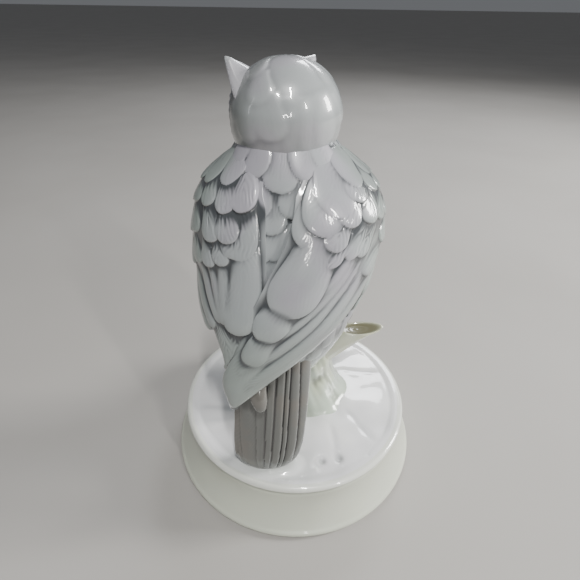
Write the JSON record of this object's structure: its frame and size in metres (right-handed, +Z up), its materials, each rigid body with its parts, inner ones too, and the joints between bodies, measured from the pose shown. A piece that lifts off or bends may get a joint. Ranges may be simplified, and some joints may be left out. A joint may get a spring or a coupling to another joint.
{
  "type": "owl figurine",
  "caption": "Glazed porcelain owl on a tree trunk, standing on a round flared drum base that turns on a hidden turntable driven by a wind-up movement.",
  "frame": {"origin": "centre of the felt pad's resting face, on the axis the figure turns about", "axes": "+Z up; +Y the way the owl's body faces, away from the camera of the picture; +X to the right seen from behind the owl"},
  "size_m": [0.108, 0.108, 0.1594],
  "materials": {
    "owl_glaze": "glossy blue-grey glaze",
    "white_glaze": "glossy white glaze",
    "trunk_glaze": "glossy pale yellow-green glaze",
    "satin_glaze": "satin cream glaze",
    "moulded_plastic": "matte black moulding",
    "white_plastic": "smooth",
    "cast_bedplate": "die-cast, plated",
    "screw_steel": "nickel plated",
    "spring_steel": "plain steel",
    "comb_steel": "ground steel",
    "brass": "satin",
    "felt_pad": "felt"
  },
  "bodies": {
    "stand": {"turntable_pad": "felt_pad", "turntable": "moulded_plastic", "arbor_nut": "screw_steel", "thrust_washer": "brass", "winding_arbor": "screw_steel", "great_wheel": "white_plastic"},
    "figure": {"base_drum": "satin_glaze", "ground_disc": "white_glaze", "tree_trunk": "trunk_glaze", "branch_stub": "trunk_glaze", "owl_body": "owl_glaze", "owl_head": "owl_glaze", "left_ear_tuft": "owl_glaze", "right_ear_tuft": "owl_glaze", "left_wing": "owl_glaze", "right_wing": "owl_glaze", "tail": "owl_glaze", "left_foot": "owl_glaze", "right_foot": "owl_glaze", "bottom_plate": "moulded_plastic", "bedplate": "cast_bedplate", "bedplate_screws": "screw_steel", "spring_housing": "spring_steel", "mainspring": "spring_steel", "cylinder_bearing": "screw_steel", "governor_frame": "screw_steel", "comb_bed": "cast_bedplate", "comb": "comb_steel", "comb_screws": "screw_steel"},
    "cylinder": {"cylinder_arbor": "screw_steel", "cylinder_pinion": "brass", "pin_cylinder": "brass", "cylinder_gear": "white_plastic"},
    "governor_wheel": {"governor_shaft": "screw_steel", "governor_pinion": "white_plastic", "worm_wheel": "white_plastic"},
    "governor_fly": {"endless_screw": "screw_steel", "fly": "white_plastic"}
  },
  "joints": [
    {"name": "figure_turn", "type": "hinge", "parent": "stand", "child": "figure", "pos_m": [0, 0, 0.004], "axis": [0, 0, 1], "continuous": true},
    {"name": "cylinder_spin", "type": "hinge", "parent": "figure", "child": "cylinder", "pos_m": [0.024, 0, 0.0139], "axis": [1, 0, 0], "continuous": true},
    {"name": "governor_spin", "type": "hinge", "parent": "figure", "child": "governor_wheel", "pos_m": [0.035, 0.00819, 0.0139], "axis": [1, 0, 0], "continuous": true},
    {"name": "fly_spin", "type": "hinge", "parent": "figure", "child": "governor_fly", "pos_m": [0.0368, 0.01399, 0.0139], "axis": [0, 0, 1], "continuous": true}
  ],
  "couplings": [
    {"joint": "cylinder_spin", "follows": "figure_turn", "ratio": -3},
    {"joint": "governor_spin", "follows": "figure_turn", "ratio": 6},
    {"joint": "fly_spin", "follows": "figure_turn", "ratio": -96}
  ]
}
